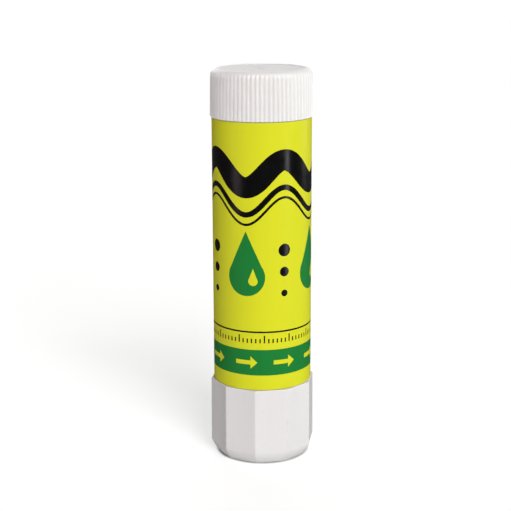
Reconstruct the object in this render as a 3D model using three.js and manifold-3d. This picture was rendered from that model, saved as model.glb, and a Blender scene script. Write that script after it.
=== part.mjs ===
// A small twist-up glue stick, closed, standing on its twist knob.
// Millimetres, +Z up. The origin is on the axis, at the level that the knob stands on.
// Every piece is round about Z. Angles run anticlockwise seen from above, from +X.

import * as THREE from "three";
import { mergeVertices } from "three/addons/utils/BufferGeometryUtils.js";
import Module from "manifold-3d";

const wasm = await Module();
wasm.setup();

// Heights of what shows, from the table up
const KNOB_HEIGHT = 15.9;
const SHELL_LENGTH = 54.4;
const CAP_HEIGHT = 9.4;

// Running gaps
const FACE_GAP = 0.3; // between faces that meet end to end
const SEAM_GAP = 0.15; // where the shell's ends meet the knob and the cap
const TURNING_GAP = 0.15; // round a piece that turns or snaps in another
const SLIDING_GAP = 0.2; // round the carrier and the glue in the bore
const THREAD_GAP = 0.2; // on every side of the spindle's thread in the hub
const NECK_GAP = 0.25; // between neck and cap, from crest to root

// Barrel
const BORE_RADIUS = 7.5;
const TUBE_WALL = 0.8;
const SHELL_SPACE = 0.7; // the open space between inner tube and outer shell
const SHELL_WALL = 0.92;
const SHOULDER_WALL = 1.2;
const SHOULDER_CHAMFER = 0.15;
const BARREL_FLOOR = 1.2;
const COLLAR_LENGTH = 8.0; // the inner tube's reach below the shell, into the knob
const MOUTH_CHAMFER = 0.25;
const WEB_COUNT = 6;
const WEB_THICKNESS = 0.8;
const WEB_RECESS = 2.0; // from the shell's open end up to the webs

// Keys in the bore, which stop the carrier from turning
const KEY_COUNT = 4;
const KEY_WIDTH = 1.2;
const KEY_HEIGHT = 0.35;
const KEY_STOP = 1.5; // from the mouth down to the keys' ends

// Label
const LABEL_THICKNESS = 0.1;
const LABEL_SEAT = 0.03; // the layer of adhesive under the film
const LABEL_MARGIN = 0.1;

// Neck thread and the thread inside the cap: two starts, right-handed
const NECK_STARTS = 2;
const NECK_PITCH = 2.5; // from one ridge up to the next
const NECK_THREAD_DEPTH = 0.6;
const NECK_THREAD_ROOT = 1.1;
const NECK_THREAD_CREST = 0.5;
const NECK_THREAD_MARGIN = 1.4; // plain neck below and above the thread

// Cap
const CAP_WALL = 0.79; // from the bore to the foot of the ribs
const CAP_TOP_WALL = 1.1;
const CAP_DRAFT = 0.18; // how much wider the skirt is at its foot
const CAP_RIB_COUNT = 72;
const CAP_RIB_DEPTH = 0.26;
const CAP_ROUND = 1.4;
const CAP_RIM_WIDTH = 0.3;
const CAP_DISC_SINK = 0.2;
const CAP_FOOT_CHAMFER = 0.25;
const GATE_MARK_RADIUS = 0.8;
const GATE_MARK_HEIGHT = 0.12;

// Cap liner
const LINER_THICKNESS = 0.8;

// Snap joint of collar and knob
const SNAP_HEIGHT = 0.35;
const SNAP_LENGTH = 0.8;
const SNAP_FOOT = 0.5; // plain collar below its bead

// Twist knob
const KNOB_WALL = 1.35; // from the bore to the bottom of the flutes
const FLUTE_COUNT = 10;
const FLUTE_DEPTH = 0.6;
const RIDGE_ANGLE = -98; // degrees, the ridge nearest the front
const KNOB_DRAFT = 0.08; // how much wider the knob is at the table
const KNOB_TOP_CHAMFER = 0.2;
const KNOB_MOUTH_CHAMFER = 0.4;
const FOOT_ROUND_HEIGHT = 2.7;
const FOOT_ROUND_DEPTH = 1.5;
const FOOT_ROUND_POWER = 1.5; // 1 is a straight chamfer, and 2 is nearly a circle's arc
const FOOT_FLUTE_SHARE = 0.4; // of the flutes' depth, left at the table
const FOOT_RING_WIDTH = 1.85; // under a ridge
const FOOT_RECESS = 1.0;
const KNOB_FLOOR = 1.2;
const POST_WALL = 1.1;
const POST_ABOVE_KNOB = 2.1;

// Spindle: one start, left-handed
const SPINDLE_CORE = 1.9;
const SPINDLE_THREAD_DEPTH = 0.7;
const SPINDLE_THREAD_ROOT = 1.7;
const SPINDLE_THREAD_CREST = 0.8;
const SPINDLE_LEAD = 4.0;
const SPINDLE_TIP = 0.8; // spindle above the hub when the carrier is all the way up
const JOURNAL_STEP = 0.3;
const FLANGE_LAP = 1.2;
const FLANGE_THICKNESS = 0.9;
const TAIL_ACROSS_FLATS = 4.0;

// Carrier
const CARRIER_HEIGHT = 5.0;
const CARRIER_WALL = 0.7;
const CARRIER_FLOOR = 1.0;
const HUB_HEIGHT = 4.0;
const HUB_WALL = 0.9;
const CARRIER_STOP = 7.4; // the rim's depth below the mouth, all the way up

// Glue
const GLUE_SINK = 0.6; // from the mouth down to the glue's tip
const GLUE_ROUND = 1.1;

// How finely round shapes are divided
const ROUND_STEPS = 48;
const NECK_THREAD_STEPS = 24; // per turn
const SPINDLE_STEPS = 20; // per turn and round the core
const STEPS_PER_FLUTE = 8;
const GATE_MARK_STEPS = 12;
const HEXAGON_SIDES = 6;
const CAP_EDGE_STEPS = 4;
const GLUE_EDGE_STEPS = 4;
const FOOT_EDGE_STEPS = 5;
const THREAD_FADE = 1 / 6; // of a turn, in which a ridge sinks at its end
const THREAD_END = 0.1; // of the ridge's section, left at its sunk end
const EMBED = 0.3; // how deep a joined piece reaches into its neighbour
const OVERSHOOT = 0.5; // how far a cutter reaches past what it cuts
const TOUCH = 0.001; // two levels closer than this are the same

// Levels, from the table up
const knobFloorTop = FOOT_RECESS + KNOB_FLOOR;
const knobTop = KNOB_HEIGHT;
const postTop = knobTop + POST_ABOVE_KNOB;
const flangeBottom = postTop + FACE_GAP;
const flangeTop = flangeBottom + FLANGE_THICKNESS;
const barrelFloorBottom = flangeTop + FACE_GAP;
const barrelFloorTop = barrelFloorBottom + BARREL_FLOOR;
const journalTop = barrelFloorTop + TURNING_GAP;
const carrierBottom = barrelFloorTop + FACE_GAP;
const carrierRim = carrierBottom + CARRIER_HEIGHT;
const hubTop = carrierBottom + HUB_HEIGHT;
const shellBottom = knobTop + SEAM_GAP;
const collarBottom = shellBottom - COLLAR_LENGTH;
const collarBeadTop = collarBottom + SNAP_FOOT + SNAP_HEIGHT + SNAP_LENGTH;
const knobBeadBottom = collarBeadTop + SNAP_HEIGHT + FACE_GAP;
const shoulder = shellBottom + SHELL_LENGTH;
const capBottom = shoulder + SEAM_GAP;
const capTop = capBottom + CAP_HEIGHT;
const capDisc = capTop - CAP_DISC_SINK;
const capCeiling = capDisc - CAP_TOP_WALL;
const linerTop = capCeiling - TURNING_GAP;
const linerBottom = linerTop - LINER_THICKNESS;
const mouth = linerBottom - FACE_GAP;
const glueTip = mouth - GLUE_SINK;
const carrierTravel = mouth - CARRIER_STOP - carrierRim;
const spindleTop = hubTop + carrierTravel + SPINDLE_TIP;
const neckLead = NECK_STARTS * NECK_PITCH;

// Radii, from the axis out
const spindleCrest = SPINDLE_CORE + SPINDLE_THREAD_DEPTH;
const journalRadius = spindleCrest + JOURNAL_STEP;
const floorHoleRadius = journalRadius + SLIDING_GAP;
const flangeRadius = floorHoleRadius + FLANGE_LAP;
const hubRadius = spindleCrest + THREAD_GAP + HUB_WALL;
const keyRadius = BORE_RADIUS - KEY_HEIGHT;
const carrierRadius = BORE_RADIUS - SLIDING_GAP;
const cupRadius = carrierRadius - CARRIER_WALL;
const glueRadius = BORE_RADIUS - SLIDING_GAP;
const tubeRadius = BORE_RADIUS + TUBE_WALL;
const neckCrest = tubeRadius + NECK_THREAD_DEPTH;
const capThreadCrest = tubeRadius + NECK_GAP;
const capBore = neckCrest + NECK_GAP;
const capRadius = capBore + CAP_WALL + CAP_RIB_DEPTH;
const collarBead = tubeRadius + SNAP_HEIGHT;
const knobBead = tubeRadius + TURNING_GAP;
const knobBore = collarBead + TURNING_GAP;
const fluteRadius = knobBore + KNOB_WALL;
const ridgeRadius = fluteRadius + FLUTE_DEPTH;
const shellSpaceRadius = tubeRadius + SHELL_SPACE;
const shellRadius = shellSpaceRadius + SHELL_WALL;
const labelInside = shellRadius + LABEL_SEAT;
const labelRadius = labelInside + LABEL_THICKNESS;

// A closed geometry as a solid that can be joined and cut.
function solidFrom(geometry) {
  const bare = geometry.clone();
  bare.deleteAttribute("normal");
  bare.deleteAttribute("uv");
  const merged = mergeVertices(bare);
  return new wasm.Manifold(
    new wasm.Mesh({
      numProp: 3,
      vertProperties: merged.attributes.position.array,
      triVerts: new Uint32Array(merged.index.array),
    }),
  );
}

// A solid as a named mesh.
function meshFrom(name, solid, material) {
  const { vertProperties, triVerts } = solid.getMesh();
  const geometry = new THREE.BufferGeometry();
  geometry.setAttribute("position", new THREE.BufferAttribute(vertProperties, 3));
  geometry.setIndex(new THREE.BufferAttribute(triVerts, 1));
  geometry.computeVertexNormals();
  const mesh = new THREE.Mesh(geometry, material);
  mesh.name = name;
  return mesh;
}

// A profile of [radius, height] points turned about Z. It runs up its outer side, and it either
// starts and ends on the axis or closes on itself.
function turned(profile, steps = ROUND_STEPS, startAngle = 0) {
  const points = profile.map(([radius, height]) => new THREE.Vector2(radius, height));
  const geometry = new THREE.LatheGeometry(points, steps);
  geometry.rotateX(Math.PI / 2);
  geometry.rotateZ(Math.PI / 2 + THREE.MathUtils.degToRad(startAngle));
  return geometry;
}

function closedLoop(profile) {
  return [...profile, profile[0]];
}

function turnedSolid(profile, steps) {
  return solidFrom(turned(profile, steps));
}

// A plain cylinder on the axis, as a profile for turned.
function cylinderProfile(radius, bottom, top) {
  return [
    [0, bottom],
    [radius, bottom],
    [radius, top],
    [0, top],
  ];
}

// Points on a quarter of an ellipse, from straight out to straight up.
function quarterRound(centreRadius, centreHeight, width, height, steps) {
  return Array.from({ length: steps + 1 }, (_, i) => {
    const angle = (i / steps) * (Math.PI / 2);
    return [
      centreRadius + width * Math.cos(angle),
      centreHeight + height * Math.sin(angle),
    ];
  });
}

// Moves each point of a turned geometry in to the radius that limit(angle, height) allows.
function limitRadius(geometry, limit) {
  const position = geometry.getAttribute("position");
  for (let i = 0; i < position.count; i++) {
    const x = position.getX(i);
    const y = position.getY(i);
    const radius = Math.hypot(x, y);
    const most = limit(Math.atan2(y, x), position.getZ(i));
    if (radius > most) position.setXY(i, (x * most) / radius, (y * most) / radius);
  }
  return geometry;
}

// One ridge of a thread: a four-sided section swept up a helix from one height to another. hand
// is 1 for a right-hand thread and -1 for a left-hand one, and the ridge passes the height
// phaseHeight at phaseAngle. The crest sinks into the root over the last part of each end.
function threadRidge({
  rootRadius,
  crestRadius,
  rootWidth,
  crestWidth,
  lead,
  hand,
  from,
  to,
  phaseHeight,
  phaseAngle,
  stepsPerTurn,
  fade = true,
}) {
  const outward = Math.sign(crestRadius - rootRadius);
  const buriedRadius = rootRadius - outward * EMBED;
  const steps = Math.floor(((to - from) / lead) * stepsPerTurn);
  const fadeSteps = stepsPerTurn * THREAD_FADE;
  const positions = [];
  for (let i = 0; i <= steps; i++) {
    const height = from + (lead * i) / stepsPerTurn;
    const angle = phaseAngle + (hand * 2 * Math.PI * (height - phaseHeight)) / lead;
    const nearestEnd = Math.min(i, steps - i);
    const rise = fade ? Math.max(Math.min(1, nearestEnd / fadeSteps), THREAD_END) : 1;
    const crest = buriedRadius + (crestRadius - buriedRadius) * rise;
    const corners = [
      [buriedRadius, -rootWidth / 2],
      [crest, -crestWidth / 2],
      [crest, crestWidth / 2],
      [buriedRadius, rootWidth / 2],
    ];
    for (const [radius, offset] of corners) {
      positions.push(radius * Math.cos(angle), radius * Math.sin(angle), height + offset);
    }
  }
  const facesOut = outward * hand < 0;
  const index = [];
  const addTriangle = (a, b, c) => index.push(...(facesOut ? [a, b, c] : [a, c, b]));
  for (let i = 0; i < steps; i++) {
    for (let side = 0; side < 4; side++) {
      const next = (side + 1) % 4;
      const here = i * 4;
      const there = here + 4;
      addTriangle(here + side, here + next, there + next);
      addTriangle(here + side, there + next, there + side);
    }
  }
  const last = steps * 4;
  addTriangle(0, 2, 1);
  addTriangle(0, 3, 2);
  addTriangle(last, last + 1, last + 2);
  addTriangle(last, last + 2, last + 3);
  const geometry = new THREE.BufferGeometry();
  geometry.setAttribute("position", new THREE.Float32BufferAttribute(positions, 3));
  geometry.setIndex(index);
  return solidFrom(geometry);
}

// A block that stands from innerRadius to outerRadius, at an angle about the axis.
function radialBlock(innerRadius, outerRadius, width, bottom, top, angle) {
  const block = new THREE.BoxGeometry(outerRadius - innerRadius, width, top - bottom);
  block.translate((innerRadius + outerRadius) / 2, 0, (bottom + top) / 2);
  block.rotateZ(angle);
  return solidFrom(block);
}

function aroundTheAxis(count, makeAt) {
  return Array.from({ length: count }, (_, i) => makeAt((i / count) * 2 * Math.PI));
}

function joinAll(solid, extras) {
  return extras.reduce((joined, extra) => joined.add(extra), solid);
}

function cutAll(solid, cutters) {
  return cutters.reduce((left, cutter) => left.subtract(cutter), solid);
}

// The spindle's ridge between two heights, grown by a gap where it cuts the hub.
function spindleRidge(from, to, gap, fade) {
  return threadRidge({
    rootRadius: SPINDLE_CORE + gap,
    crestRadius: spindleCrest + gap,
    rootWidth: SPINDLE_THREAD_ROOT + 2 * gap,
    crestWidth: SPINDLE_THREAD_CREST + 2 * gap,
    lead: SPINDLE_LEAD,
    hand: -1,
    from,
    to,
    phaseHeight: journalTop,
    phaseAngle: 0,
    stepsPerTurn: SPINDLE_STEPS,
    fade,
  });
}

// The two starts of the neck's or the cap's thread.
function neckRidges(rootRadius, crestRadius, from, to, phaseAngle) {
  return aroundTheAxis(NECK_STARTS, (angle) =>
    threadRidge({
      rootRadius,
      crestRadius,
      rootWidth: NECK_THREAD_ROOT,
      crestWidth: NECK_THREAD_CREST,
      lead: neckLead,
      hand: 1,
      from,
      to,
      phaseHeight: shoulder + NECK_THREAD_MARGIN,
      phaseAngle: phaseAngle + angle,
      stepsPerTurn: NECK_THREAD_STEPS,
    }),
  );
}

// Barrel: inner tube with floor, collar and threaded neck, and the outer shell round it
function makeBarrel() {
  const spaceTop = shoulder - SHOULDER_WALL;
  const profile = [
    [BORE_RADIUS, collarBottom],
    [tubeRadius, collarBottom],
    [tubeRadius, collarBottom + SNAP_FOOT],
    [collarBead, collarBottom + SNAP_FOOT + SNAP_HEIGHT],
    [collarBead, collarBeadTop],
    [tubeRadius, collarBeadTop],
    [tubeRadius, spaceTop],
    [shellSpaceRadius, spaceTop],
    [shellSpaceRadius, shellBottom],
    [shellRadius, shellBottom],
    [shellRadius, shoulder - SHOULDER_CHAMFER],
    [shellRadius - SHOULDER_CHAMFER, shoulder],
    [tubeRadius, shoulder],
    [tubeRadius, mouth - MOUTH_CHAMFER],
    [tubeRadius - MOUTH_CHAMFER, mouth],
    [BORE_RADIUS, mouth],
    [BORE_RADIUS, barrelFloorTop],
    [floorHoleRadius, barrelFloorTop],
    [floorHoleRadius, barrelFloorBottom],
    [BORE_RADIUS, barrelFloorBottom],
  ];
  const keys = aroundTheAxis(KEY_COUNT, (angle) =>
    radialBlock(
      keyRadius,
      BORE_RADIUS + TUBE_WALL / 2,
      KEY_WIDTH,
      barrelFloorTop - BARREL_FLOOR / 2,
      mouth - KEY_STOP,
      angle,
    ),
  );
  const webs = aroundTheAxis(WEB_COUNT, (angle) =>
    radialBlock(
      tubeRadius - TUBE_WALL / 2,
      shellRadius - SHELL_WALL / 2,
      WEB_THICKNESS,
      shellBottom + WEB_RECESS,
      shoulder - SHOULDER_WALL / 2,
      angle + Math.PI / WEB_COUNT,
    ),
  );
  const ridges = neckRidges(
    tubeRadius,
    neckCrest,
    shoulder + NECK_THREAD_MARGIN,
    mouth - NECK_THREAD_MARGIN,
    0,
  );
  return joinAll(turnedSolid(closedLoop(profile)), [...keys, ...webs, ...ridges]);
}

// Label: the film wrapped round the shell
function makeLabel() {
  const bottom = shellBottom + LABEL_MARGIN;
  const top = shoulder - SHOULDER_CHAMFER;
  return turnedSolid(
    closedLoop([
      [labelInside, bottom],
      [labelRadius, bottom],
      [labelRadius, top],
      [labelInside, top],
    ]),
  );
}

// Cap: ribbed skirt, rounded shoulder, sunk disc with the moulding's gate mark, inner thread
function makeCap() {
  const roundBottom = capTop - CAP_ROUND;
  const rimOutside = capRadius - CAP_ROUND;
  const rimInside = rimOutside - CAP_RIM_WIDTH;
  const footRadius = capRadius + CAP_DRAFT;
  const outside = turned(
    [
      [0, capBottom],
      [footRadius - CAP_FOOT_CHAMFER, capBottom],
      [footRadius, capBottom + CAP_FOOT_CHAMFER],
      ...quarterRound(rimOutside, roundBottom, CAP_ROUND, CAP_ROUND, CAP_EDGE_STEPS),
      [rimInside, capTop],
      [rimInside, capDisc],
      [0, capDisc],
    ],
    2 * CAP_RIB_COUNT,
  );
  const ribSpacing = Math.PI / CAP_RIB_COUNT;
  limitRadius(outside, (angle, height) => {
    const isGroove = Math.abs(Math.round(angle / ribSpacing)) % 2 === 1;
    const onSkirt = height < roundBottom + TOUCH;
    const draft = (CAP_DRAFT * (roundBottom - height)) / (roundBottom - capBottom);
    return isGroove && onSkirt ? capRadius + draft - CAP_RIB_DEPTH : Infinity;
  });
  const room = turnedSolid([
    [0, capBottom - OVERSHOOT],
    [capBore + CAP_FOOT_CHAMFER, capBottom - OVERSHOOT],
    [capBore + CAP_FOOT_CHAMFER, capBottom],
    [capBore, capBottom + CAP_FOOT_CHAMFER],
    [capBore, capCeiling],
    [0, capCeiling],
  ]);
  const gateMark = turnedSolid(
    cylinderProfile(GATE_MARK_RADIUS, capDisc - CAP_TOP_WALL / 2, capDisc + GATE_MARK_HEIGHT),
    GATE_MARK_STEPS,
  );
  const ridges = neckRidges(
    capBore,
    capThreadCrest,
    capBottom + NECK_THREAD_MARGIN,
    linerBottom - NECK_THREAD_MARGIN,
    Math.PI / NECK_STARTS,
  );
  return joinAll(solidFrom(outside).subtract(room), [gateMark, ...ridges]);
}

// Cap liner: the disc that seals the mouth
function makeLiner() {
  return turnedSolid(cylinderProfile(capBore - SLIDING_GAP, linerBottom, linerTop));
}

// Twist knob: fluted cup with a rounded foot, a snap bead and the post for the spindle
function makeKnob() {
  const ridgeAt = (height) => {
    const draft = KNOB_DRAFT * (1 - height / knobTop);
    const belowRound = Math.max(0, 1 - height / FOOT_ROUND_HEIGHT);
    return ridgeRadius + draft - FOOT_ROUND_DEPTH * belowRound ** FOOT_ROUND_POWER;
  };
  const footRound = Array.from({ length: FOOT_EDGE_STEPS + 1 }, (_, i) => {
    const height = (FOOT_ROUND_HEIGHT * i) / FOOT_EDGE_STEPS;
    return [ridgeAt(height), height];
  });
  const recessRadius = ridgeAt(0) - FOOT_RING_WIDTH;
  const outside = turned(
    [
      [0, FOOT_RECESS],
      [recessRadius - FOOT_RECESS / 2, FOOT_RECESS],
      [recessRadius, 0],
      ...footRound,
      [ridgeRadius, knobTop - KNOB_TOP_CHAMFER],
      [ridgeRadius - KNOB_TOP_CHAMFER, knobTop],
      [0, knobTop],
    ],
    FLUTE_COUNT * STEPS_PER_FLUTE,
    RIDGE_ANGLE,
  );
  const firstRidge = THREE.MathUtils.degToRad(RIDGE_ANGLE);
  limitRadius(outside, (angle, height) => {
    const turn = ((angle - firstRidge) / (2 * Math.PI)) * FLUTE_COUNT;
    const acrossFlute = 2 * (turn - Math.floor(turn)) - 1;
    const upFoot = Math.min(1, height / FOOT_ROUND_HEIGHT);
    const share = FOOT_FLUTE_SHARE + (1 - FOOT_FLUTE_SHARE) * upFoot;
    return ridgeAt(height) - FLUTE_DEPTH * share * (1 - acrossFlute ** 2);
  });
  const beadTop = knobBeadBottom + SNAP_LENGTH;
  const room = turnedSolid([
    [0, knobFloorTop],
    [knobBore, knobFloorTop],
    [knobBore, knobBeadBottom],
    [knobBead, knobBeadBottom],
    [knobBead, beadTop],
    [knobBore, beadTop + SNAP_HEIGHT],
    [knobBore, knobTop - KNOB_MOUTH_CHAMFER],
    [knobBore + KNOB_MOUTH_CHAMFER, knobTop],
    [knobBore + KNOB_MOUTH_CHAMFER, knobTop + OVERSHOOT],
    [0, knobTop + OVERSHOOT],
  ]);
  const socketFlats = TAIL_ACROSS_FLATS + 2 * TURNING_GAP;
  const postRadius = hexagonCorner(socketFlats) + POST_WALL;
  const post = turnedSolid(
    cylinderProfile(postRadius, knobFloorTop - KNOB_FLOOR / 2, postTop),
    SPINDLE_STEPS,
  );
  const socket = hexagonRod(socketFlats, knobFloorTop, postTop + OVERSHOOT);
  return solidFrom(outside).subtract(room).add(post).subtract(socket);
}

function hexagonCorner(acrossFlats) {
  return acrossFlats / 2 / Math.cos(Math.PI / HEXAGON_SIDES);
}

function hexagonRod(acrossFlats, bottom, top) {
  return turnedSolid(cylinderProfile(hexagonCorner(acrossFlats), bottom, top), HEXAGON_SIDES);
}

// Spindle: hexagonal tail, flange under the barrel's floor, journal and threaded rod
function makeSpindle() {
  const rod = turnedSolid(
    [
      [0, flangeBottom],
      [flangeRadius, flangeBottom],
      [flangeRadius, flangeTop],
      [journalRadius, flangeTop],
      [journalRadius, journalTop],
      [SPINDLE_CORE, journalTop],
      [SPINDLE_CORE, spindleTop],
      [0, spindleTop],
    ],
    SPINDLE_STEPS,
  );
  const tail = hexagonRod(
    TAIL_ACROSS_FLATS,
    knobFloorTop + FACE_GAP,
    flangeBottom + FLANGE_THICKNESS / 2,
  );
  const ridge = spindleRidge(journalTop, spindleTop - SPINDLE_THREAD_ROOT / 2, 0, true);
  return rod.add(tail).add(ridge);
}

// Carrier: the cup that holds the glue's foot, with the hub that climbs the spindle
function makeCarrier() {
  const cup = turnedSolid([
    [0, carrierBottom],
    [carrierRadius, carrierBottom],
    [carrierRadius, carrierRim],
    [cupRadius, carrierRim],
    [cupRadius, carrierBottom + CARRIER_FLOOR],
    [hubRadius, carrierBottom + CARRIER_FLOOR],
    [hubRadius, hubTop],
    [0, hubTop],
  ]);
  const bore = turnedSolid(
    cylinderProfile(SPINDLE_CORE + THREAD_GAP, carrierBottom - OVERSHOOT, hubTop + OVERSHOOT),
    SPINDLE_STEPS,
  );
  const pastEnds = SPINDLE_THREAD_ROOT / 2 + THREAD_GAP + OVERSHOOT;
  const thread = spindleRidge(carrierBottom - pastEnds, hubTop + pastEnds, THREAD_GAP, false);
  return cutAll(cup, [bore, thread, ...keyRooms(carrierBottom, carrierRim)]);
}

// The slots that the barrel's keys run in, between two heights.
function keyRooms(from, to) {
  return aroundTheAxis(KEY_COUNT, (angle) =>
    radialBlock(
      keyRadius - SLIDING_GAP,
      BORE_RADIUS + OVERSHOOT,
      KEY_WIDTH + 2 * SLIDING_GAP,
      from - OVERSHOOT,
      to + OVERSHOOT,
      angle,
    ),
  );
}

// Glue: cast on the carrier, round the spindle, with a rounded tip just inside the mouth
function makeGlue() {
  const footRadius = cupRadius - FACE_GAP;
  const footBottom = carrierBottom + CARRIER_FLOOR + FACE_GAP;
  const hubRoomRadius = hubRadius + FACE_GAP;
  const spindleRoomRadius = spindleCrest + FACE_GAP;
  const stick = turnedSolid([
    [0, footBottom],
    [footRadius, footBottom],
    [footRadius, carrierRim + FACE_GAP],
    [glueRadius, carrierRim + FACE_GAP],
    ...quarterRound(
      glueRadius - GLUE_ROUND,
      glueTip - GLUE_ROUND,
      GLUE_ROUND,
      GLUE_ROUND,
      GLUE_EDGE_STEPS,
    ),
    [0, glueTip],
  ]);
  const hubRoom = turnedSolid(
    cylinderProfile(hubRoomRadius, footBottom - OVERSHOOT, hubTop + FACE_GAP),
  );
  const spindleRoom = turnedSolid(
    cylinderProfile(spindleRoomRadius, footBottom, spindleTop + FACE_GAP),
    SPINDLE_STEPS,
  );
  return cutAll(stick, [hubRoom, spindleRoom, ...keyRooms(carrierRim, glueTip)]);
}

// Finishes
function finish(color, roughness) {
  return new THREE.MeshStandardMaterial({ color, roughness, metalness: 0, flatShading: true });
}
const whitePlastic = finish(0xeeeceb, 0.42);
const naturalPlastic = finish(0xf0eee8, 0.5);
const yellowFilm = finish(0xe2e62c, 0.3);
const greyPlastic = finish(0xd9dade, 0.5);
const softFoam = finish(0xf4f4f1, 0.8);
const glueMass = finish(0xf6f5ef, 0.35);

const glueStick = new THREE.Group();
glueStick.add(
  meshFrom("barrel", makeBarrel(), naturalPlastic),
  meshFrom("label_sleeve", makeLabel(), yellowFilm),
  meshFrom("cap", makeCap(), whitePlastic),
  meshFrom("cap_liner", makeLiner(), softFoam),
  meshFrom("twist_knob", makeKnob(), whitePlastic),
  meshFrom("spindle", makeSpindle(), greyPlastic),
  meshFrom("carrier", makeCarrier(), naturalPlastic),
  meshFrom("glue_stick", makeGlue(), glueMass),
);

export default glueStick;
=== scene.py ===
"""A small twist-up glue stick, closed and standing on its knob, dressed round its CAD frame."""

import math

import bpy
from mathutils import Matrix, Vector
from mathutils.geometry import delaunay_2d_cdt


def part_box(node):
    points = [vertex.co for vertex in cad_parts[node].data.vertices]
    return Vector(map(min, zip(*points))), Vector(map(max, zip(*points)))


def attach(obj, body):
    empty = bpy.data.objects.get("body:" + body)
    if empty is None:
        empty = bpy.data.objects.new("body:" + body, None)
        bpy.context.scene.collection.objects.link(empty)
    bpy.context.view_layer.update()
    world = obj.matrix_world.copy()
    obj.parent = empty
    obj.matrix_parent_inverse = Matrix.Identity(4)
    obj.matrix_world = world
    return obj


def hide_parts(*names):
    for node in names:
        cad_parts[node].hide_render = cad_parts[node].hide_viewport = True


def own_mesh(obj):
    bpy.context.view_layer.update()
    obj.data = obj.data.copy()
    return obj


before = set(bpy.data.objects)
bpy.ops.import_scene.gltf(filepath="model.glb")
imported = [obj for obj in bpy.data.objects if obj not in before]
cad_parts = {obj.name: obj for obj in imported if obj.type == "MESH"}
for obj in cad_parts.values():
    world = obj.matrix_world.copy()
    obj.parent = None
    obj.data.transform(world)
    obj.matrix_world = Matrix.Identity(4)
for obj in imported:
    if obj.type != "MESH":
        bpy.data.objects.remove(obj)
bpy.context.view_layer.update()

MM = 0.001
FRONT = -math.pi / 2  # the angle about Z that faces the camera

# Sizes taken from the frame, in millimetres


def levels_of(node):
    """Lowest level, highest level and greatest reach along X of a CAD node, in millimetres."""
    low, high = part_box(node)
    return low.z / MM, high.z / MM, high.x / MM


CAP_BOTTOM, CAP_TOP, CAP_FOOT_RADIUS = levels_of("cap")
LINER_BOTTOM, LINER_TOP, LINER_RADIUS = levels_of("cap_liner")
LABEL_BOTTOM, LABEL_TOP, LABEL_RADIUS = levels_of("label_sleeve")
COLLAR_BOTTOM, MOUTH, SHELL_RADIUS = levels_of("barrel")
GLUE_BOTTOM, GLUE_TIP, GLUE_RADIUS = levels_of("glue_stick")
CARRIER_BOTTOM, CARRIER_RIM, CARRIER_RADIUS = levels_of("carrier")
SPINDLE_TOP = levels_of("spindle")[1]
POST_TOP = levels_of("twist_knob")[1]

# Sizes of the finished surfaces, in millimetres

FACE_GAP = 0.3
SEAM_GAP = 0.15
TURNING_GAP = 0.15
SEAM_CLOSING = 0.1  # how far a finished edge reaches into the frame's seam, so that it looks shut
LABEL_MARGIN = 0.1  # plain shell below the label
FILM_OVERHANG = 0.05  # how far the finished film reaches past the frame's label
SHELL_BOTTOM = LABEL_BOTTOM - LABEL_MARGIN
KNOB_TOP = SHELL_BOTTOM - SEAM_GAP + SEAM_CLOSING
SHOULDER = CAP_BOTTOM - SEAM_GAP
CAP_FOOT = CAP_BOTTOM - SEAM_CLOSING
FILM_BOTTOM = LABEL_BOTTOM - FILM_OVERHANG
FILM_TOP = LABEL_TOP + FILM_OVERHANG

BORE_RADIUS = 7.5
TUBE_RADIUS = 8.3
SHELL_SPACE_RADIUS = 9.0
SHOULDER_WALL = 1.2
BARREL_FLOOR_TOP = CARRIER_BOTTOM - FACE_GAP
BARREL_FLOOR = 1.2
FLOOR_HOLE_RADIUS = 3.1

SNAP_HEIGHT = 0.35  # of a bead over its wall, and its slope is as long
SNAP_LENGTH = 0.8
SNAP_FACE = 0.05  # the length of a bead's steep side along the axis
SNAP_FOOT = 0.5  # plain collar below its bead
COLLAR_BEAD_RADIUS = TUBE_RADIUS + SNAP_HEIGHT

KEY_COUNT = 4
KEY_WIDTH = 1.2
KEY_HEIGHT = 0.35
KEY_STOP = 1.5  # from the mouth down to the keys' ends
KEY_TOP = MOUTH - KEY_STOP
KEY_FLANK = 0.1
SLIDING_GAP = 0.2

THREAD_STARTS = 2
THREAD_PITCH = 2.5
THREAD_ROOT = 1.2
THREAD_CREST = 0.45
NECK_THREAD_DEPTH = 0.6
CAP_THREAD_DEPTH = 0.6
THREAD_MARGIN = 1.4

CAP_RADIUS = 10.2
CAP_BORE_RADIUS = 9.15
CAP_ROUND = 1.4
CAP_RIM_INSIDE = 8.5
CAP_DISC_SINK = 0.2
CAP_DISC = CAP_TOP - CAP_DISC_SINK
CAP_CEILING = LINER_TOP + TURNING_GAP
GATE_MARK_RADIUS = 0.8
GATE_MARK_HEIGHT = 0.12
RIB_COUNT = 72
RIB_DEPTH = 0.17

FLUTE_COUNT = 10
FLUTE_RADIUS = 10.15
RIDGE_RADIUS = 10.75
RIDGE_ANGLE = math.radians(-98)
KNOB_DRAFT = 0.08
KNOB_BORE_RADIUS = COLLAR_BEAD_RADIUS + TURNING_GAP
KNOB_BEAD_RADIUS = TUBE_RADIUS + TURNING_GAP
KNOB_BEAD_BOTTOM = 10.35
KNOB_FLOOR_TOP = 2.2
KNOB_MOUTH_CHAMFER = 0.4
FOOT_ROUND_HEIGHT = 2.7
FOOT_ROUND_DEPTH = 1.5
FOOT_ROUND_POWER = 1.5
FOOT_FLUTE_SHARE = 0.4  # of the flutes' depth, left at the table
FOOT_RADIUS = RIDGE_RADIUS + KNOB_DRAFT - FOOT_ROUND_DEPTH
FOOT_RECESS_RADIUS = 7.5
FOOT_RECESS = 1.0
POST_RADIUS = 3.58
SOCKET_RADIUS = 2.42  # round, and clear of the corners of the spindle's six-sided tail

# How finely round pieces are divided

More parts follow.
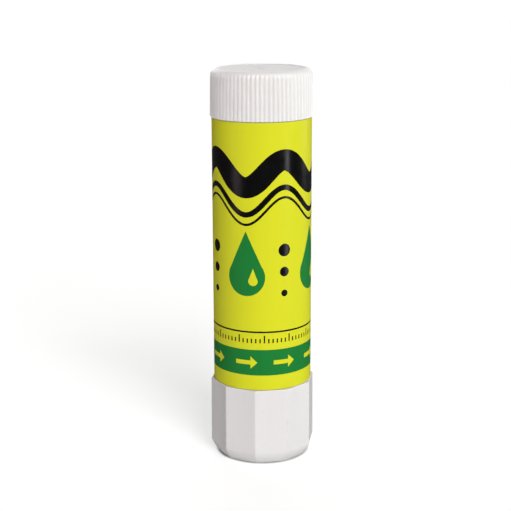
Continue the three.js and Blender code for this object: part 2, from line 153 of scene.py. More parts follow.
RIB_STEPS = 8  # round the cap, per rib
FLUTE_STEPS = 36  # round the knob, per flute
ROUND_STEPS = 192
FOOT_STEPS = 14
CAP_THREAD_STEP = 0.12  # up the cap's bore
NECK_THREAD_STEP = 0.08  # up the neck
KNOB_WALL_STEP = 0.5
ARC_STEP = math.radians(9)
HOLD = 0.03  # from the end of a rounding to the point that holds it
ON_AXIS = 1e-6  # a smaller radius, in millimetres or metres, counts as none


# Meshes


def rounded(corners):
    """Profile points, in millimetres, from (radius, height, rounding) corners. Each rounding is an
    arc with a holding point at both ends, so that flat stretches shade flat. Two roundings share
    the stretch between them by their size."""
    places = [Vector(corner[:2]) for corner in corners]
    points = []
    for i, (here, corner) in enumerate(zip(places, corners)):
        rounding = corner[2]
        if rounding == 0:
            points.append(here)
            continue
        before, after = i - 1, (i + 1) % len(corners)
        to_before, to_after = places[before] - here, places[after] - here
        room_before = to_before.length * rounding / (rounding + corners[before][2])
        room_after = to_after.length * rounding / (rounding + corners[after][2])
        half_angle = to_before.angle(to_after) / 2
        tangent = min(rounding / math.tan(half_angle), 0.95 * room_before, 0.95 * room_after)
        radius = tangent * math.tan(half_angle)
        along_before, along_after = to_before.normalized(), to_after.normalized()
        middle = (along_before + along_after).normalized()
        centre = here + middle * (radius / math.sin(half_angle))
        turn = math.pi - 2 * half_angle
        steps = max(2, math.ceil(turn / ARC_STEP))
        start = here + along_before * tangent - centre
        side = 1 if along_before.cross(along_after) > 0 else -1
        if room_before > tangent + HOLD:
            points.append(here + along_before * (tangent + HOLD))
        for k in range(steps + 1):
            points.append(centre + Matrix.Rotation(side * -turn * k / steps, 2) @ start)
        if room_after > tangent + HOLD:
            points.append(here + along_after * (tangent + HOLD))
    return points


def divided(points, longest, low, high, closed):
    """The profile with its stretches between two heights cut into steps no longer than longest."""
    result = []
    count = len(points)
    for i, here in enumerate(points):
        result.append(here)
        if not closed and i == count - 1:
            break
        there = points[(i + 1) % count]
        inside = min(here.y, there.y) > low and max(here.y, there.y) < high
        pieces = math.ceil((there - here).length / longest) if inside else 1
        result.extend(here.lerp(there, k / pieces) for k in range(1, pieces))
    return result


def new_piece(name, vertices, faces):
    """A smooth-shaded mesh object from points in metres."""
    mesh = bpy.data.meshes.new(name)
    mesh.from_pydata(vertices, [], faces)
    mesh.shade_smooth()
    piece = bpy.data.objects.new(name, mesh)
    bpy.context.scene.collection.objects.link(piece)
    return piece


def turned(name, points, steps, closed, extra_angles=()):
    """The solid of a profile turned about Z. The profile runs up its outer side, and either closes
    on itself or starts and ends on the axis. Extra angles give more steps where an edge runs."""
    even_angles = {2 * math.pi * j / steps for j in range(steps)}
    angles = sorted(even_angles | {angle % (2 * math.pi) for angle in extra_angles})
    steps = len(angles)
    vertices = []
    rings = []
    for point in points:
        on_axis = point.x < ON_AXIS
        rings.append((len(vertices), 1 if on_axis else steps))
        for angle in angles[:1] if on_axis else angles:
            vertices.append(
                (point.x * math.cos(angle) * MM, point.x * math.sin(angle) * MM, point.y * MM)
            )
    faces = []
    pairs = list(zip(rings, rings[1:] + rings[:1])) if closed else list(zip(rings, rings[1:]))
    for (low_start, low_size), (high_start, high_size) in pairs:
        for j in range(steps):
            k = (j + 1) % steps
            face = [low_start + j % low_size, low_start + k % low_size]
            face += [high_start + k % high_size, high_start + j % high_size]
            face = list(dict.fromkeys(face))
            if len(face) > 2:
                faces.append(face)
    return new_piece(name, vertices, faces)


# Geometry trees, which shape what follows a rule


def add_node(tree, kind, inputs=None, **settings):
    """A node with its settings and inputs. An input is a value, or another node's output."""
    node = tree.nodes.new(kind)
    for name, value in settings.items():
        setattr(node, name, value)
    for key, value in (inputs or {}).items():
        if isinstance(value, bpy.types.NodeSocket):
            tree.links.new(value, node.inputs[key])
        else:
            node.inputs[key].default_value = value
    return node


def math_on(tree, operation, *values, clamp=False):
    """One operation on values or on other nodes' outputs."""
    node = add_node(
        tree, "ShaderNodeMath", dict(enumerate(values)), operation=operation, use_clamp=clamp
    )
    return node.outputs[0]


def new_rule(name, sizes):
    """A geometry tree with a named input for each size. Returns the tree and its input node."""
    tree = bpy.data.node_groups.new(name, "GeometryNodeTree")
    tree.is_modifier = True
    tree.interface.new_socket("Geometry", in_out="INPUT", socket_type="NodeSocketGeometry")
    for size_name, value in sizes.items():
        socket = tree.interface.new_socket(
            size_name, in_out="INPUT", socket_type="NodeSocketFloat"
        )
        socket.default_value = value
    tree.interface.new_socket("Finish", in_out="INPUT", socket_type="NodeSocketMaterial")
    tree.interface.new_socket("Geometry", in_out="OUTPUT", socket_type="NodeSocketGeometry")
    return tree, add_node(tree, "NodeGroupInput").outputs


def polar_position(tree):
    """Radius, angle and height of each point."""
    position = add_node(tree, "GeometryNodeInputPosition").outputs[0]
    parts = add_node(tree, "ShaderNodeSeparateXYZ", {0: position}).outputs
    flat = add_node(tree, "ShaderNodeCombineXYZ", {0: parts[0], 1: parts[1]}).outputs[0]
    radius = add_node(tree, "ShaderNodeVectorMath", {0: flat}, operation="LENGTH").outputs[1]
    angle = math_on(tree, "ARCTAN2", parts[1], parts[0])
    return radius, angle, parts[2]


def ramp(tree, value, start, end):
    """0 before start, 1 after end, smooth between them."""
    node = add_node(
        tree,
        "ShaderNodeMapRange",
        {0: value, 1: start, 2: end, 3: 0.0, 4: 1.0},
        interpolation_type="SMOOTHSTEP",
    )
    return node.outputs[0]


def finish_rule(tree, given, radius, angle, height, new_radius):
    """Moves each point out or in to new_radius, and ends the tree."""
    new_x = math_on(tree, "MULTIPLY", new_radius, math_on(tree, "COSINE", angle))
    new_y = math_on(tree, "MULTIPLY", new_radius, math_on(tree, "SINE", angle))
    place = add_node(tree, "ShaderNodeCombineXYZ", {0: new_x, 1: new_y, 2: height}).outputs[0]
    movable = math_on(tree, "GREATER_THAN", radius, ON_AXIS)
    moved = add_node(
        tree,
        "GeometryNodeSetPosition",
        {"Geometry": given["Geometry"], "Selection": movable, "Position": place},
    )
    real = add_node(tree, "GeometryNodeRealizeInstances", {"Geometry": moved.outputs[0]})
    done = add_node(
        tree,
        "GeometryNodeSetMaterial",
        {"Geometry": real.outputs[0], "Material": given["Finish"]},
    )
    add_node(tree, "NodeGroupOutput", {"Geometry": done.outputs[0]})
    return tree


def rib_rule():
    """Upright ribs round a skirt: grooves sink between them, and fade out under the shoulder."""
    tree, given = new_rule(
        "cap_ribs",
        {
            "Rib Count": RIB_COUNT,
            "Rib Depth": RIB_DEPTH * MM,
            "Skirt Radius": 0,
            "Rib Top": 0,
            "Fade": 0,
        },
    )
    radius, angle, height = polar_position(tree)
    wave = math_on(tree, "COSINE", math_on(tree, "MULTIPLY", angle, given["Rib Count"]))
    groove = math_on(tree, "MULTIPLY_ADD", wave, -0.5, 0.5)
    groove = math_on(tree, "POWER", groove, 1.6)
    fade_start = math_on(tree, "SUBTRACT", given["Rib Top"], given["Fade"])
    above = ramp(tree, height, fade_start, given["Rib Top"])
    below = math_on(tree, "SUBTRACT", 1.0, above)
    outer = math_on(tree, "GREATER_THAN", radius, given["Skirt Radius"])
    depth = math_on(tree, "MULTIPLY", groove, given["Rib Depth"])
    depth = math_on(tree, "MULTIPLY", depth, math_on(tree, "MULTIPLY", below, outer))
    new_radius = math_on(tree, "SUBTRACT", radius, depth)
    return finish_rule(tree, given, radius, angle, height, new_radius)


def flute_rule():
    """Shallow hollow flutes round the knob's outer skin, which meet in softly rounded ridges. The
    skin is what lies outside a radius that grows from the table up."""
    tree, given = new_rule(
        "knob_flutes",
        {
            "Flute Count": FLUTE_COUNT,
            "Flute Depth": (RIDGE_RADIUS - FLUTE_RADIUS) * MM,
            "Ridge Angle": RIDGE_ANGLE,
            "Ridge Softness": 0.1,
            "Skin Foot": 8.9 * MM,
            "Skin Top": 9.6 * MM,
            "Knob Top": KNOB_TOP * MM,
            "Foot Height": FOOT_ROUND_HEIGHT * MM,
            "Foot Share": FOOT_FLUTE_SHARE,
        },
    )
    radius, angle, height = polar_position(tree)
    turn = math_on(tree, "SUBTRACT", angle, given["Ridge Angle"])
    per_radian = math_on(tree, "DIVIDE", given["Flute Count"], 2 * math.pi)
    turn = math_on(tree, "MULTIPLY", turn, per_radian)
    across = math_on(tree, "MULTIPLY_ADD", math_on(tree, "FRACT", turn), 2.0, -1.0)
    rise = math_on(tree, "MULTIPLY", across, across)
    rise = math_on(tree, "SMOOTH_MIN", rise, 1.0, given["Ridge Softness"])
    hollow = math_on(tree, "MULTIPLY", math_on(tree, "SUBTRACT", 1.0, rise), given["Flute Depth"])
    up_foot = math_on(tree, "DIVIDE", height, given["Foot Height"], clamp=True)
    grown = math_on(tree, "MULTIPLY", up_foot, math_on(tree, "SUBTRACT", 1.0, given["Foot Share"]))
    hollow = math_on(tree, "MULTIPLY", hollow, math_on(tree, "ADD", given["Foot Share"], grown))
    level = math_on(tree, "DIVIDE", height, given["Knob Top"])
    lean = math_on(tree, "SUBTRACT", given["Skin Top"], given["Skin Foot"])
    inside = math_on(tree, "MULTIPLY_ADD", level, lean, given["Skin Foot"])
    on_skin = math_on(tree, "GREATER_THAN", radius, inside)
    step = math_on(tree, "MULTIPLY", hollow, on_skin)
    return finish_rule(tree, given, radius, angle, height, math_on(tree, "SUBTRACT", radius, step))


def key_rule(name, limit_radius, width, top):
    """Upright keys in a bore, or the slots in the glue that they leave: near each key's middle,
    points between two radii move in to the limit."""
    tree, given = new_rule(
        name,
        {
            "Key Count": KEY_COUNT,
            "Limit Radius": limit_radius * MM,
            "Width": width * MM,
            "Flank": KEY_FLANK * MM,
            "Inner Radius": (limit_radius - 0.01) * MM,
            "Outer Radius": (BORE_RADIUS + 0.1) * MM,
            "Low": BARREL_FLOOR_TOP * MM,
            "Top": top * MM,
        },
    )
    radius, angle, height = polar_position(tree)
    half_share = math_on(tree, "DIVIDE", math.pi, given["Key Count"])
    low_share = math_on(tree, "MULTIPLY", half_share, -1.0)
    off_middle = math_on(tree, "ABSOLUTE", math_on(tree, "WRAP", angle, half_share, low_share))
    distance = math_on(tree, "MULTIPLY", off_middle, radius)
    half_width = math_on(tree, "MULTIPLY", given["Width"], 0.5)
    flank_end = math_on(tree, "ADD", half_width, given["Flank"])
    near = math_on(tree, "SUBTRACT", 1.0, ramp(tree, distance, half_width, flank_end))
    end = math_on(tree, "ADD", given["Top"], given["Flank"])
    below = math_on(tree, "SUBTRACT", 1.0, ramp(tree, height, given["Top"], end))
    above = math_on(tree, "GREATER_THAN", height, given["Low"])
    share = math_on(tree, "MULTIPLY", near, math_on(tree, "MULTIPLY", below, above))
    outside = math_on(tree, "GREATER_THAN", radius, given["Inner Radius"])
    inside = math_on(tree, "LESS_THAN", radius, given["Outer Radius"])
    share = math_on(tree, "MULTIPLY", share, math_on(tree, "MULTIPLY", outside, inside))
    to_limit = math_on(tree, "SUBTRACT", radius, given["Limit Radius"])
    step = math_on(tree, "MULTIPLY", to_limit, share)
    return finish_rule(tree, given, radius, angle, height, math_on(tree, "SUBTRACT", radius, step))


def key_angles(radius, width):
    """The angles of the flanks of the keys, or of the slots round them."""
    edges = [side * (width / 2 + flank) for side in (-1, 1) for flank in (0, KEY_FLANK)]
    middles = [2 * math.pi * k / KEY_COUNT for k in range(KEY_COUNT)]
    return [middle + edge / radius for middle in middles for edge in edges]


def thread_rule(name, outward):
    """Thread ridges on one wall. A ridge stands out of the wall, or into the bore."""
    tree, given = new_rule(
        name,
        {
            "Wall Radius": 0,
            "Wall Margin": 0.05 * MM,
            "Depth": 0,
            "Starts": THREAD_STARTS,
            "Pitch": THREAD_PITCH * MM,
            "Root Width": THREAD_ROOT * MM,
            "Crest Width": THREAD_CREST * MM,
            "First Height": 0,
            "First Angle": 0,
            "Low": 0,
            "High": 0,
            "Fade": 0.6 * MM,
        },
    )
    radius, angle, height = polar_position(tree)
    around = math_on(tree, "SUBTRACT", angle, given["First Angle"])
    per_radian = math_on(tree, "DIVIDE", given["Starts"], 2 * math.pi)
    around = math_on(tree, "MULTIPLY", around, per_radian)
    up = math_on(tree, "SUBTRACT", height, given["First Height"])
    up = math_on(tree, "DIVIDE", up, given["Pitch"])
    phase = math_on(tree, "WRAP", math_on(tree, "SUBTRACT", up, around), 0.5, -0.5)
    off_centre = math_on(tree, "MULTIPLY", phase, given["Pitch"])
    centre_height = math_on(tree, "SUBTRACT", height, off_centre)
    distance = math_on(tree, "ABSOLUTE", off_centre)
    half_root = math_on(tree, "MULTIPLY", given["Root Width"], 0.5)
    half_crest = math_on(tree, "MULTIPLY", given["Crest Width"], 0.5)
    section = math_on(tree, "SUBTRACT", 1.0, ramp(tree, distance, half_crest, half_root))
    low_end = math_on(tree, "ADD", given["Low"], given["Fade"])
    high_end = math_on(tree, "SUBTRACT", given["High"], given["Fade"])
    fade_in = ramp(tree, centre_height, given["Low"], low_end)
    fade_out = math_on(tree, "SUBTRACT", 1.0, ramp(tree, centre_height, high_end, given["High"]))
    rise = math_on(tree, "MULTIPLY", math_on(tree, "MULTIPLY", fade_in, fade_out), section)
    off_wall = math_on(tree, "ABSOLUTE", math_on(tree, "SUBTRACT", radius, given["Wall Radius"]))
    on_wall = math_on(tree, "LESS_THAN", off_wall, given["Wall Margin"])
    step = math_on(tree, "MULTIPLY", math_on(tree, "MULTIPLY", rise, on_wall), given["Depth"])
    moved = math_on(tree, "ADD" if outward else "SUBTRACT", radius, step)
    return finish_rule(tree, given, radius, angle, height, moved)


def shaped(piece, tree, finish, **sizes):
    """Runs a geometry tree over a piece and keeps the result as a plain mesh."""
    modifier = piece.modifiers.new(tree.name, "NODES")
    modifier.node_group = tree
    given = {name.replace("_", " ").title(): value for name, value in sizes.items()}
    given["Finish"] = finish
    for item in tree.interface.items_tree:
        if item.in_out == "INPUT" and item.name in given:
            modifier[item.identifier] = given[item.name]
    whole = piece.evaluated_get(bpy.context.evaluated_depsgraph_get())
    mesh = bpy.data.meshes.new_from_object(whole)
    piece.modifiers.remove(modifier)
    mesh.name = piece.name
    piece.data = mesh
    return piece


# Finishes


def new_finish(name):
    """A material with an empty tree. Returns it with its shader and its Object coordinates."""
    material = bpy.data.materials.new(name)
    material.use_nodes = True
    tree = material.node_tree
    tree.nodes.clear()
    shader = add_node(tree, "ShaderNodeBsdfPrincipled")
    add_node(tree, "ShaderNodeOutputMaterial", {"Surface": shader.outputs[0]})
    place = add_node(tree, "ShaderNodeTexCoord").outputs["Object"]
    return material, shader, place


def noise(tree, place, size, detail=3.0, roughness=0.55, stretch=(1, 1, 1)):
    """Cloudy noise with features about size millimetres across."""
    mapped = add_node(tree, "ShaderNodeMapping", {"Vector": place, "Scale": stretch}).outputs[0]
    node = add_node(
        tree,
        "ShaderNodeTexNoise",
        {"Vector": mapped, "Scale": 1 / (size * MM), "Detail": detail, "Roughness": roughness},
    )
    return node.outputs["Fac"]


def spread(tree, value, low, high, start=0.3, end=0.7):
    """The value's middle range, stretched to run from low to high."""
    node = add_node(tree, "ShaderNodeMapRange", {0: value, 1: start, 2: end, 3: low, 4: high})
    return node.outputs[0]


def mixed(tree, share, first, second):
    """The first colour where the share is 0, and the second where it is 1."""
    node = add_node(tree, "ShaderNodeMix", {0: share}, data_type="RGBA")
    for index, colour in ((6, first), (7, second)):
        if isinstance(colour, bpy.types.NodeSocket):
            tree.links.new(colour, node.inputs[index])
        else:
            node.inputs[index].default_value = (*colour, 1)
    return node.outputs[2]


def relief(tree, value, depth, normal=None):
    """A bump of that depth, in millimetres, on top of another."""
    inputs = {"Height": value, "Strength": 1.0, "Distance": depth * MM}
    if normal is not None:
        inputs["Normal"] = normal
    return add_node(tree, "ShaderNodeBump", inputs).outputs[0]


def off_axis(tree, place):
    """How far each point lies from the stick's axis."""
    parts = add_node(tree, "ShaderNodeSeparateXYZ", {0: place}).outputs
    flat = add_node(tree, "ShaderNodeCombineXYZ", {0: parts[0], 1: parts[1]}).outputs[0]
    return add_node(tree, "ShaderNodeVectorMath", {0: flat}, operation="LENGTH").outputs[1]


def moulded_plastic(
    name, colour, shade, roughness, glow, glow_depth, worn_above=None, hazy_above=None
):
    """Moulded polypropylene: faint clouding, fine satin grain and hairline scuffs. What stands out
    past one radius is rubbed smoother, and past another it is milkier, as thin ribs are."""
    material, shader, place = new_finish(name)
    tree = material.node_tree
    clouds = spread(tree, noise(tree, place, 7, detail=4), 0, 1)
    flow = spread(tree, noise(tree, place, 2.5, stretch=(1, 1, 0.15)), 0, 1)
    tone = math_on(tree, "MULTIPLY", clouds, flow)
    base = mixed(tree, tone, colour, shade)
    specks = spread(tree, noise(tree, place, 0.35, detail=1), 0, 0.5, 0.72, 0.78)
    base = mixed(tree, specks, base, tuple(0.72 * c for c in shade))
    shine = spread(tree, noise(tree, place, 1.6, detail=5), roughness - 0.06, roughness + 0.07)
    reach = off_axis(tree, place)
    if worn_above is not None:
        rubbed = spread(tree, reach, 0, 0.14, worn_above * MM, (worn_above + 0.25) * MM)
        shine = math_on(tree, "SUBTRACT", shine, rubbed)
    if hazy_above is not None:
        haze = spread(tree, reach, 0.5, 1, hazy_above * MM, (hazy_above + 0.6) * MM)
        tree.links.new(haze, shader.inputs["Sheen Weight"])
    grain = noise(tree, place, 0.09, detail=2)
    scuffs = spread(tree, noise(tree, place, 0.5, stretch=(1, 1, 0.06)), 0, 1, 0.66, 0.74)
    waves = noise(tree, place, 4.5, detail=2)
    normal = relief(tree, waves, 0.05)
    normal = relief(tree, grain, 0.006, normal)
    normal = relief(tree, scuffs, 0.004, normal)
    tree.links.new(base, shader.inputs["Base Color"])
    tree.links.new(shine, shader.inputs["Roughness"])
    tree.links.new(normal, shader.inputs["Normal"])
    shader.inputs["IOR"].default_value = 1.49
    shader.inputs["Subsurface Weight"].default_value = glow
    shader.inputs["Subsurface Radius"].default_value = (1.0, 0.9, 0.8)
    shader.inputs["Subsurface Scale"].default_value = glow_depth * MM
    return material


def printed_film(name, colour, shade, roughness, gloss):
    """Glossy plastic film: faint streaks along the web, slight orange peel and soft creases."""
    material, shader, place = new_finish(name)
    tree = material.node_tree
    streaks = spread(tree, noise(tree, place, 1.5, stretch=(1, 1, 0.1)), 0, 1)
    clouds = spread(tree, noise(tree, place, 9, detail=4), 0, 1)
    base = mixed(tree, math_on(tree, "MULTIPLY", streaks, clouds), colour, shade)
    shine = spread(tree, noise(tree, place, 2.2, detail=5), roughness - 0.04, roughness + 0.06)
    peel = noise(tree, place, 0.6, detail=2)
    creases = noise(tree, place, 6, detail=1, stretch=(1, 1, 0.35))
    normal = relief(tree, creases, 0.06)
    normal = relief(tree, peel, 0.004, normal)
    tree.links.new(base, shader.inputs["Base Color"])
    tree.links.new(shine, shader.inputs["Roughness"])
    tree.links.new(normal, shader.inputs["Normal"])
    shader.inputs["IOR"].default_value = 1.5
    shader.inputs["Specular IOR Level"].default_value = gloss
    return material


def cast_glue(name):
    """Firm white glue: waxy, a little see-through, with casting swirls and small pits."""
    material, shader, place = new_finish(name)
    tree = material.node_tree
    swirl = spread(tree, noise(tree, place, 5, detail=5), 0, 1)
    base = mixed(tree, swirl, (0.8, 0.79, 0.75), (0.75, 0.74, 0.69))
    shine = spread(tree, noise(tree, place, 2, detail=4), 0.28, 0.45)
    pits = spread(tree, noise(tree, place, 0.7, detail=1), 0, 1, 0.62, 0.7)
    normal = relief(tree, noise(tree, place, 3, detail=3), 0.12)
    normal = relief(tree, pits, -0.03, normal)
    tree.links.new(base, shader.inputs["Base Color"])
    tree.links.new(shine, shader.inputs["Roughness"])
    tree.links.new(normal, shader.inputs["Normal"])
    shader.inputs["Subsurface Weight"].default_value = 0.5
    shader.inputs["Subsurface Radius"].default_value = (1.0, 0.95, 0.8)
    shader.inputs["Subsurface Scale"].default_value = 1.5 * MM
    return material


def closed_cell_foam(name):
    """Liner foam: a dull surface of fine closed cells."""
    material, shader, place = new_finish(name)
    tree = material.node_tree
    cells = add_node(tree, "ShaderNodeTexVoronoi", {"Vector": place, "Scale": 1 / (0.25 * MM)})
    tone = spread(tree, cells.outputs["Distance"], 0, 1, 0.1, 0.7)
    base = mixed(tree, tone, (0.64, 0.64, 0.63), (0.7, 0.7, 0.69))
    shine = spread(tree, noise(tree, place, 1.5), 0.7, 0.85)
    normal = relief(tree, cells.outputs["Distance"], 0.03)
    tree.links.new(base, shader.inputs["Base Color"])
    tree.links.new(shine, shader.inputs["Roughness"])
    tree.links.new(normal, shader.inputs["Normal"])
    return material


CAP_WHITE = moulded_plastic(
    "cap_white",
    colour=(0.615, 0.605, 0.6),
    shade=(0.59, 0.58, 0.575),
    roughness=0.42,
    glow=1.0,
    glow_depth=1.2,
    worn_above=10.15,
    hazy_above=8.6,
)
KNOB_WHITE = moulded_plastic(
    "knob_white",
    colour=(0.57, 0.56, 0.56),
    shade=(0.55, 0.538, 0.54),
    roughness=0.36,
    glow=0.15,
    glow_depth=0.5,
    worn_above=10.6,
)
TUBE_WHITE = moulded_plastic(
    "tube_white",
    colour=(0.6, 0.59, 0.575),
    shade=(0.57, 0.56, 0.545),
    roughness=0.42,
    glow=0.2,
    glow_depth=0.6,
)
SPINDLE_GREY = moulded_plastic(
    "spindle_grey",
    colour=(0.5, 0.51, 0.54),
    shade=(0.46, 0.47, 0.5),
    roughness=0.45,
    glow=0.1,
    glow_depth=0.8,
)
YELLOW_FILM = printed_film(
    "yellow_film",
    colour=(0.505, 0.517, 0.009),
    shade=(0.49, 0.503, 0.009),
    roughness=0.34,
    gloss=0.2,
)
BLACK_INK = printed_film(
    "black_ink",
    colour=(0.001, 0.001, 0.001),
    shade=(0.002, 0.002, 0.002),
    roughness=0.2,
    gloss=0.55,
)
GREEN_INK = printed_film(
    "green_ink",
    colour=(0.006, 0.155, 0.025),
    shade=(0.006, 0.143, 0.022),
    roughness=0.32,
    gloss=0.2,
)
WHITE_GLUE = cast_glue("white_glue")
LINER_FOAM = closed_cell_foam("liner_foam")


# Pieces


def make_cap():
    """The ribbed screw cap, with its sunk disc, gate mark and inner thread."""
    corners = [
        (0, CAP_DISC + GATE_MARK_HEIGHT, 0),
        (GATE_MARK_RADIUS, CAP_DISC + GATE_MARK_HEIGHT, 0.05),
        (GATE_MARK_RADIUS + 0.1, CAP_DISC, 0.08),
        (CAP_RIM_INSIDE, CAP_DISC, 0.15),
        (CAP_RIM_INSIDE + 0.08, CAP_TOP, 0.12),
        (CAP_RADIUS, CAP_TOP, CAP_ROUND),
        (CAP_FOOT_RADIUS, CAP_FOOT, 0.15),
        (CAP_BORE_RADIUS + 0.25, CAP_FOOT, 0.12),
        (CAP_BORE_RADIUS, CAP_BOTTOM + 0.4, 0.2),
        (CAP_BORE_RADIUS, CAP_CEILING, 0.2),
        (0, CAP_CEILING, 0),
    ]
    points = list(reversed(rounded(corners)))
    points = divided(points, CAP_THREAD_STEP, CAP_BOTTOM + 0.45, CAP_CEILING, closed=False)
    cap = turned("cap_ribbed", points, RIB_COUNT * RIB_STEPS, closed=False)
    shaped(
        cap,
        rib_rule(),
        CAP_WHITE,
        skirt_radius=(CAP_BORE_RADIUS + 0.5) * MM,
        rib_top=(CAP_TOP - 0.25) * MM,
        fade=0.7 * MM,
    )
    shaped(
        cap,
        thread_rule("cap_thread", outward=False),
        CAP_WHITE,
        wall_radius=CAP_BORE_RADIUS * MM,
        depth=CAP_THREAD_DEPTH * MM,
        first_height=(SHOULDER + THREAD_MARGIN) * MM,
        first_angle=math.pi / THREAD_STARTS,
        low=(CAP_BOTTOM + THREAD_MARGIN) * MM,
        high=(LINER_BOTTOM - THREAD_MARGIN) * MM,
    )
    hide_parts("cap")
    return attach(cap, "cap")


def make_liner():
    """The sealing disc, with the shallow ring that the mouth has pressed in it."""
    ring_in, ring_out, ring_depth = BORE_RADIUS - 0.1, TUBE_RADIUS + 0.1, 0.12
    corners = [
        (0, LINER_BOTTOM, 0),
        (ring_in, LINER_BOTTOM, 0.08),
        (ring_in + 0.1, LINER_BOTTOM + ring_depth, 0.08),
        (ring_out - 0.1, LINER_BOTTOM + ring_depth, 0.08),
        (ring_out, LINER_BOTTOM, 0.08),
        (LINER_RADIUS, LINER_BOTTOM, 0.12),
        (LINER_RADIUS, LINER_TOP, 0.12),
        (0, LINER_TOP, 0),
    ]
    liner = turned("cap_seal", rounded(corners), ROUND_STEPS, closed=False)
    liner.data.materials.append(LINER_FOAM)
    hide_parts("cap_liner")
    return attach(liner, "cap_liner")


def make_barrel():
    """The moulded tube: collar with its snap bead, outer shell, shoulder and threaded neck."""
    space_top = SHOULDER - SHOULDER_WALL
    floor_bottom = BARREL_FLOOR_TOP - BARREL_FLOOR
    bead_bottom = COLLAR_BOTTOM + SNAP_FOOT + SNAP_HEIGHT
    bead_top = bead_bottom + SNAP_LENGTH
    corners = [
        (BORE_RADIUS, COLLAR_BOTTOM, 0.15),
        (TUBE_RADIUS, COLLAR_BOTTOM, 0.15),
        (TUBE_RADIUS, COLLAR_BOTTOM + SNAP_FOOT, 0.1),
        (COLLAR_BEAD_RADIUS, bead_bottom, 0.15),
        (COLLAR_BEAD_RADIUS, bead_top, 0.1),
        (TUBE_RADIUS, bead_top + SNAP_FACE, 0.1),
        (TUBE_RADIUS, space_top, 0.2),
        (SHELL_SPACE_RADIUS, space_top, 0.2),
        (SHELL_SPACE_RADIUS, SHELL_BOTTOM, 0.1),
        (SHELL_RADIUS, SHELL_BOTTOM, 0.08),
        (SHELL_RADIUS, SHOULDER, 0.06),
        (TUBE_RADIUS, SHOULDER, 0.2),
        (TUBE_RADIUS, MOUTH, 0.28),
        (BORE_RADIUS, MOUTH, 0.15),
        (BORE_RADIUS, KEY_TOP + KEY_FLANK, 0),
        (BORE_RADIUS, KEY_TOP, 0),
        (BORE_RADIUS, BARREL_FLOOR_TOP, 0.2),
        (FLOOR_HOLE_RADIUS, BARREL_FLOOR_TOP, 0.1),
        (FLOOR_HOLE_RADIUS, floor_bottom, 0.1),
        (BORE_RADIUS, floor_bottom, 0.2),
    ]
    points = rounded(corners)
    points = divided(points, NECK_THREAD_STEP, SHOULDER + 0.1, MOUTH - 0.1, closed=True)
    flanks = key_angles(BORE_RADIUS, KEY_WIDTH)
    barrel = turned("barrel_tube", points, ROUND_STEPS, closed=True, extra_angles=flanks)
    keys = key_rule("bore_keys", BORE_RADIUS - KEY_HEIGHT, KEY_WIDTH, KEY_TOP)
    shaped(barrel, keys, TUBE_WHITE)
    shaped(
        barrel,
        thread_rule("neck_thread", outward=True),
        TUBE_WHITE,
        wall_radius=TUBE_RADIUS * MM,
        depth=NECK_THREAD_DEPTH * MM,
        first_height=(SHOULDER + THREAD_MARGIN) * MM,
        first_angle=0.0,
        low=(SHOULDER + THREAD_MARGIN) * MM,
        high=(MOUTH - THREAD_MARGIN) * MM,
    )
    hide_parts("barrel")
    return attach(barrel, "barrel")


def make_knob():
    """The fluted twist knob, with its rounded foot, recessed underside, snap bead and post."""
    bead_top = KNOB_BEAD_BOTTOM + SNAP_LENGTH
    socket_floor = KNOB_FLOOR_TOP + 0.02
    foot = []
    for i in range(1, FOOT_STEPS + 1):
        rise = i / FOOT_STEPS
        reach = 1 - (1 - rise) ** FOOT_ROUND_POWER
        foot.append((FOOT_RADIUS + FOOT_ROUND_DEPTH * reach, FOOT_ROUND_HEIGHT * rise, 0))
    corners = [
        (0, FOOT_RECESS, 0),
        (FOOT_RECESS_RADIUS - 0.45, FOOT_RECESS, 0.3),
        (FOOT_RECESS_RADIUS, 0, 0.25),
        (FOOT_RADIUS, 0, 0.3),
        *foot,
        (RIDGE_RADIUS, KNOB_TOP, 0.18),
        (KNOB_BORE_RADIUS + KNOB_MOUTH_CHAMFER, KNOB_TOP, 0.1),
        (KNOB_BORE_RADIUS, KNOB_TOP - KNOB_MOUTH_CHAMFER, 0.2),
        (KNOB_BORE_RADIUS, bead_top + SNAP_HEIGHT, 0.2),
        (KNOB_BEAD_RADIUS, bead_top, 0.1),
        (KNOB_BEAD_RADIUS, KNOB_BEAD_BOTTOM, 0.08),
        (KNOB_BORE_RADIUS, KNOB_BEAD_BOTTOM - SNAP_FACE, 0.08),
        (KNOB_BORE_RADIUS, KNOB_FLOOR_TOP, 0.4),
        (POST_RADIUS, KNOB_FLOOR_TOP, 0.4),
        (POST_RADIUS, POST_TOP, 0.2),
        (SOCKET_RADIUS, POST_TOP, 0.15),
        (SOCKET_RADIUS, socket_floor, 0.2),
        (0, socket_floor, 0),
    ]
    points = rounded(corners)
    points = divided(points, KNOB_WALL_STEP, 0.2, KNOB_TOP - 0.1, closed=False)
    knob = turned("knob_fluted", points, FLUTE_COUNT * FLUTE_STEPS, closed=False)
    shaped(knob, flute_rule(), KNOB_WHITE)
    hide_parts("twist_knob")
    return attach(knob, "knob")


